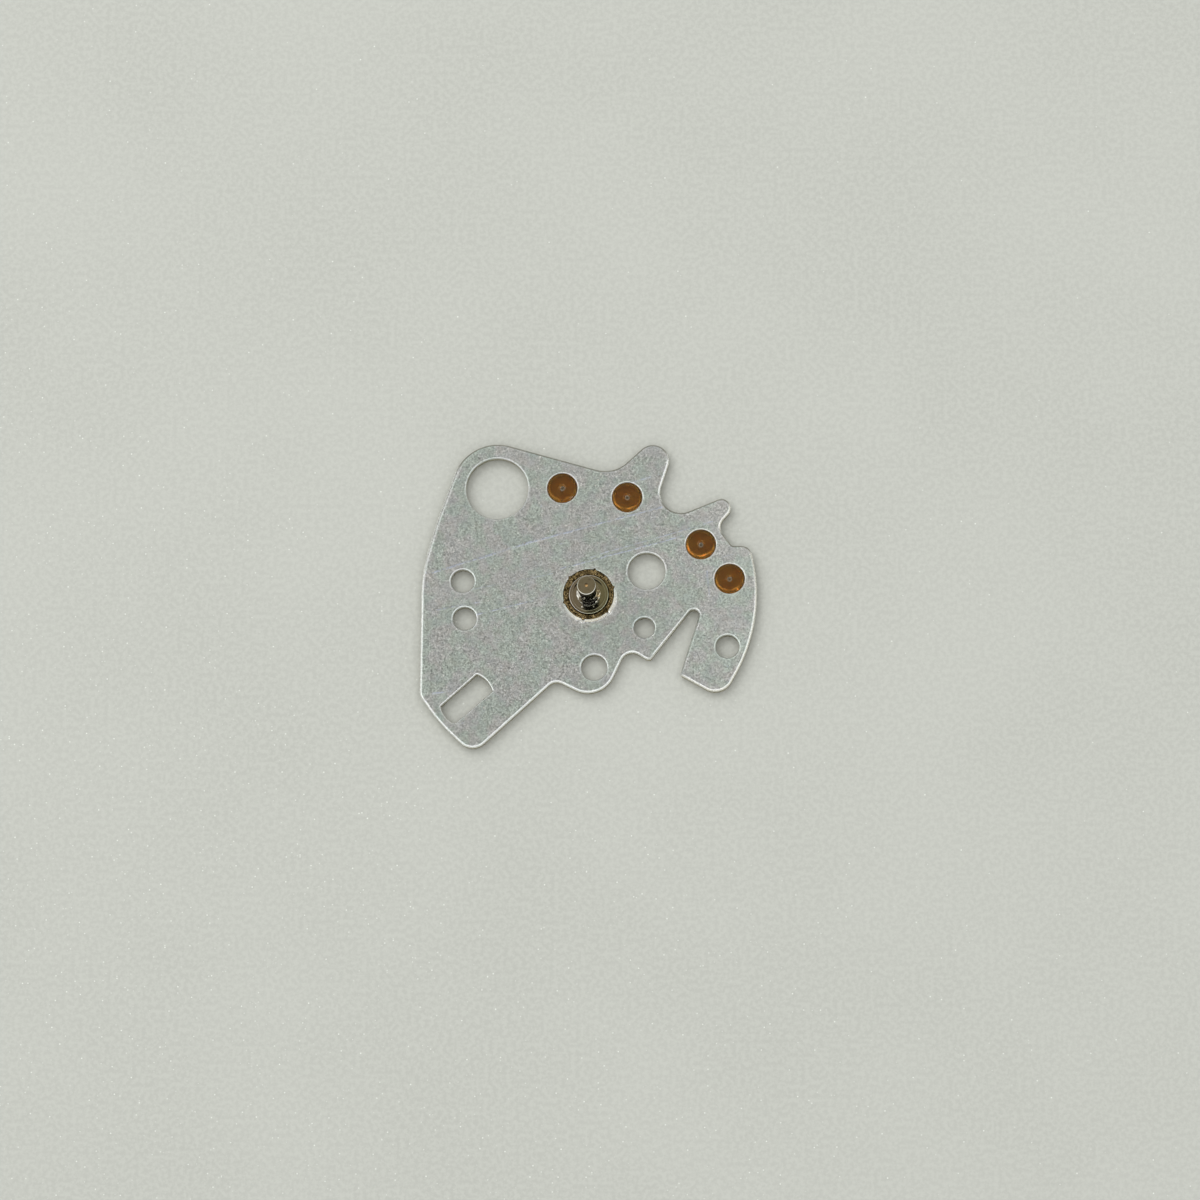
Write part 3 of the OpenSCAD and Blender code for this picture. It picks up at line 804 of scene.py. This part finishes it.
def steel_material():
    m = Tree("post_polished_steel")
    x, y, z = m.xyz()
    rad = m.vmath("LENGTH", m.join(x, y, 0.0))
    turn = m.noise(1.0, 3.0, 0.7, vec=m.join(m.math("MULTIPLY", rad, 60.0), m.math("MULTIPLY", z, 34.0), 0.0))
    soil = m.noise(5.0, 3.0, 0.6)
    dust = m.cells(9.0)
    dr = m.new("ShaderNodeSeparateColor"); m.link(dust.outputs["Color"], dr.inputs[0])
    mote = m.math("MULTIPLY", m.map(dr.outputs[0], 0.955, 0.965), m.map(dust.outputs["Distance"], 0.04, 0.22, 1.0, 0.0))
    col = m.mix(m.map(turn, 0.3, 0.7), (0.50, 0.478, 0.410), (0.60, 0.578, 0.505))
    col = m.mix(m.map(soil, 0.48, 0.74, 0.0, 0.45), col, (0.38, 0.335, 0.245))
    # the flange is darker, with a painted reflection: mauve-grey on the left, olive on the right
    low = m.map(z, 0.75, 0.60)
    side = m.map(m.math("SUBTRACT", x, m.math("MULTIPLY", y, 0.4)), -0.3, 0.5)
    col = m.mix(m.math("MULTIPLY", low, 0.85), col, m.mix(side, (0.53, 0.49, 0.44), (0.44, 0.450, 0.305)))
    # painted highlights: pale, matt spots on the boss's top and beside its foot
    top = m.math("MULTIPLY", m.map(z, 0.700, 0.708), m.map(z, 0.760, 0.730))
    left = m.math("MULTIPLY", m.map(x, -0.26, -0.34), m.map(m.math("ABSOLUTE", m.math("ADD", y, 0.05)), 0.12, 0.24, 1.0, 0.0))
    right = m.math("MULTIPLY", m.map(x, 0.33, 0.40), m.map(m.math("ABSOLUTE", m.math("ADD", y, 0.06)), 0.16, 0.30, 1.0, 0.0))
    foot = m.map(m.vmath("DISTANCE", m.join(x, y, 0.0), (-0.262, -0.505, 0.0)), 0.022, 0.058, 1.0, 0.0)
    foot = m.math("MAXIMUM", foot, m.map(m.vmath("DISTANCE", m.join(x, y, 0.0), (0.205, -0.495, 0.0)), 0.012, 0.045, 0.8, 0.0))
    foot = m.math("MULTIPLY", foot, m.map(z, 0.60, 0.57))
    glint_break = m.map(m.noise(13.0, 2.0, 0.6), 0.40, 0.56, 0.15, 1.0)
    left = m.math("MULTIPLY", m.math("MULTIPLY", left, top), glint_break)
    right = m.math("MULTIPLY", m.math("MULTIPLY", right, top), glint_break)
    col = m.mix(left, col, (0.99, 0.98, 0.93))
    col = m.mix(right, col, (1.0, 0.82, 0.50))
    col = m.mix(foot, col, (1.0, 0.97, 0.88))
    painted_glint_mask = m.math("MAXIMUM", foot, m.math("MAXIMUM", left, right))
    eye = m.math("MULTIPLY", m.map(z, 2.30, 2.36), m.map(rad, 0.030, 0.095, 1.0, 0.0))
    col = m.mix(m.math("MULTIPLY", eye, 0.9), col, (0.82, 0.50, 0.20))
    col = m.mix(m.math("MULTIPLY", mote, 0.6), col, (0.72, 0.62, 0.42))
    m.link(col, m.bsdf.inputs["Base Color"])
    m.bsdf.inputs["Metallic"].default_value = 1.0
    r = m.math("ADD", m.map(turn, 0.3, 0.7, 0.04, 0.09), m.math("MULTIPLY", m.map(soil, 0.5, 0.75), 0.10))
    r = m.math("ADD", r, m.math("MULTIPLY", mote, 0.3))
    r = m.math("ADD", r, m.math("MULTIPLY", eye, 0.25))
    r = m.math("ADD", r, m.math("MULTIPLY", painted_glint_mask, 0.42))
    m.link(r, m.bsdf.inputs["Roughness"])
    n1 = m.bump(turn, 0.25e-6)
    n2 = m.bump(m.noise(7.0, 2.0, 0.6), 1.2e-6, normal=n1)
    m.link(n2, m.bsdf.inputs["Normal"])
    return m.mat


def floor_material():
    m = Tree("floor_pale")
    x, y, z = m.xyz()
    a = m.noise(0.10, 3.0, 0.55)
    b = m.noise(5.5, 2.0, 0.6)
    cell = m.cells(9.0)
    rnd = m.new("ShaderNodeSeparateColor"); m.link(cell.outputs["Color"], rnd.inputs[0])
    col = m.mix(m.map(a, 0.3, 0.7), (0.283, 0.288, 0.266), (0.296, 0.301, 0.279))
    col = m.mix(m.map(b, 0.35, 0.65, 0.0, 1.0), col, m.mix(0.5, col, (0.338, 0.345, 0.318)))
    # glints thicken towards the lower left
    lean = m.map(m.math("ADD", x, y), 14.0, -34.0, 0.0, 1.0)
    glint = m.math("GREATER_THAN", rnd.outputs[0], m.map(lean, 0.0, 1.0, 0.995, 0.930, smooth=False))
    glint = m.math("MULTIPLY", glint, m.map(cell.outputs["Distance"], 0.05, 0.34, 1.0, 0.0))
    glint = m.math("MULTIPLY", glint, m.map(rnd.outputs[1], 0.0, 1.0, 0.25, 1.0))
    col = m.mix(m.math("MULTIPLY", glint, 0.75), col, (0.62, 0.635, 0.60))
    m.link(col, m.bsdf.inputs["Base Color"])
    m.bsdf.inputs["Roughness"].default_value = 0.8
    m.bsdf.inputs["Specular IOR Level"].default_value = 0.15
    n1 = m.bump(b, 6.0e-6)
    m.link(n1, m.bsdf.inputs["Normal"])
    return m.mat


# ---------------------------------------------------------------- build the object
plate = build_plate()
plate.data.materials.append(plate_material())
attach(plate, "root"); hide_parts("bridge_plate")

ruby = ruby_material()
for name, (jx, jy) in JEWELS.items():
    shine = {"jewel_upper_left": 0.45, "jewel_upper_middle": 0.66, "jewel_right_upper": 1.0, "jewel_right_lower": 0.52}[name]
    ob = build_jewel(name, jx, jy, chip=(-46.0, 7.0) if name == "jewel_upper_left" else None, shine=shine,
                     spot=308.0 if name == "jewel_right_lower" else None)
    ob.data.materials.append(ruby)
    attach(ob, "root"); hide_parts(name)

collar = build_collar()
collar.data.materials.append(collar_material())
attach(collar, "root"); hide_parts("post_collar")

post = build_post()
post.data.materials.append(steel_material())
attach(post, "root"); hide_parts("rotor_post")

# ---------------------------------------------------------------- floor
fb = Builder()
n = 60
side = np.linspace(-900.0, 900.0, n + 1)
idx = [[None] * (n + 1) for _ in range(n + 1)]
for i, px in enumerate(side):
    for j, py in enumerate(side):
        idx[i][j] = len(fb.v)
        fb.v.append((float(px), float(py), -0.004))
for i in range(n):
    for j in range(n):
        fb.f.append((idx[i][j], idx[i + 1][j], idx[i + 1][j + 1], idx[i][j + 1]))
floor = fb.make("floor")
floor.data.materials.append(floor_material())

# ---------------------------------------------------------------- light
world = bpy.data.worlds.new("studio")
bpy.context.scene.world = world
world.use_nodes = True
wt = world.node_tree
wt.nodes.clear()


def wnode(kind):
    return wt.nodes.new(kind)


wco = wnode("ShaderNodeTexCoord")
wsep = wnode("ShaderNodeSeparateXYZ"); wt.links.new(wco.outputs["Generated"], wsep.inputs[0])


def wmap(x, a, b, c, d):
    n = wnode("ShaderNodeMapRange"); n.interpolation_type = "SMOOTHSTEP"
    wt.links.new(x, n.inputs["Value"])
    for k, v in zip(("From Min", "From Max", "To Min", "To Max"), (a, b, c, d)):
        n.inputs[k].default_value = v
    return n.outputs["Result"]


def wmul(a, b):
    n = wnode("ShaderNodeMath"); n.operation = "MULTIPLY"
    wt.links.new(a, n.inputs[0])
    if isinstance(b, float):
        n.inputs[1].default_value = b
    else:
        wt.links.new(b, n.inputs[1])
    return n.outputs[0]


def wmix(f, a, b):
    n = wnode("ShaderNodeMix"); n.data_type = "RGBA"
    wt.links.new(f, n.inputs["Factor"])
    for s, v in ((n.inputs[6], a), (n.inputs[7], b)):
        if isinstance(v, tuple):
            s.default_value = (*v, 1.0)
        else:
            wt.links.new(v, s)
    return n.outputs[2]


def wdot(v):
    n = wnode("ShaderNodeVectorMath"); n.operation = "DOT_PRODUCT"
    wt.links.new(wco.outputs["Generated"], n.inputs[0])
    n.inputs[1].default_value = v
    return n.outputs["Value"]


cap = wmap(wsep.outputs["Z"], 0.820, 0.915, 0.0, 1.0)                       # 1 straight overhead
hood = wmap(wdot((0.0, -0.19, 0.9818)), 0.931, 0.951, 0.0, 1.0)        # a black hood in the middle of it
slant = wmap(wdot((-0.62, 0.62, 0.48)), -0.5, 1.0, 0.0, 1.0)                 # brighter towards the upper left
low = wmap(wsep.outputs["Z"], 0.40, 0.78, 1.0, 0.0)
back = wmul(wmap(wsep.outputs["Y"], 0.10, 0.45, 0.0, 1.0), low)             # dim low down behind the object
tent = wmix(slant, (1.22, 1.235, 1.235), (1.66, 1.67, 1.64))
soft = wmix(wmap(wsep.outputs["Z"], 0.62, 0.92, 0.0, 1.0), wmix(slant, (0.72, 0.73, 0.73), (1.00, 1.01, 0.99)), (2.62, 2.63, 2.60))
tent = wmix(back, tent, (0.26, 0.26, 0.24))
sky = wmix(cap, tent, (0.26, 0.222, 0.150))
sky = wmix(hood, sky, (0.010, 0.010, 0.009))
lp = wnode("ShaderNodeLightPath")
seen = wmix(lp.outputs["Is Diffuse Ray"], sky, soft)                         # plain soft light for matt surfaces
seen = wmix(lp.outputs["Is Camera Ray"], seen, (0.62, 0.63, 0.60))
bg = wnode("ShaderNodeBackground"); wt.links.new(seen, bg.inputs["Color"]); bg.inputs["Strength"].default_value = 1.0
wo = wnode("ShaderNodeOutputWorld"); wt.links.new(bg.outputs[0], wo.inputs["Surface"])


def area(name, at, size, watts, colour=(1, 1, 1), aim=(0, 0, 0)):
    l = bpy.data.lights.new(name, "AREA")
    l.shape = "SQUARE"; l.size = size; l.energy = watts; l.color = colour
    o = bpy.data.objects.new(name, l)
    o.location = at
    o.rotation_euler = (Vector(aim) - Vector(at)).to_track_quat("-Z", "Y").to_euler()
    o.visible_camera = False
    bpy.context.scene.collection.objects.link(o)
    return o


key = area("key", (-0.20, 0.20, 0.33), 0.32, 1.05, (1.0, 1.0, 0.985))
key.visible_glossy = False
key.visible_transmission = False

# ---------------------------------------------------------------- camera
cam = bpy.data.cameras.new("camera")
cam.lens, cam.sensor_width = 225.0, 36.0
cam.clip_start, cam.clip_end = 0.01, 10.0
co = bpy.data.objects.new("camera", cam)
R, U, F = (0.99873184, 0.00981344, -0.04938021), (0.0, 0.98081908, 0.1949203), (0.05034589, -0.19467311, 0.97957525)
co.matrix_world = Matrix(((R[0], U[0], F[0], 0.0155566), (R[1], U[1], F[1], -0.0586222), (R[2], U[2], F[2], 0.2943726), (0, 0, 0, 1)))
bpy.context.scene.collection.objects.link(co)
bpy.context.scene.camera = co

bpy.context.scene.view_settings.view_transform = "Standard"

# ---------------------------------------------------------------- update the scene
bpy.context.view_layer.update()
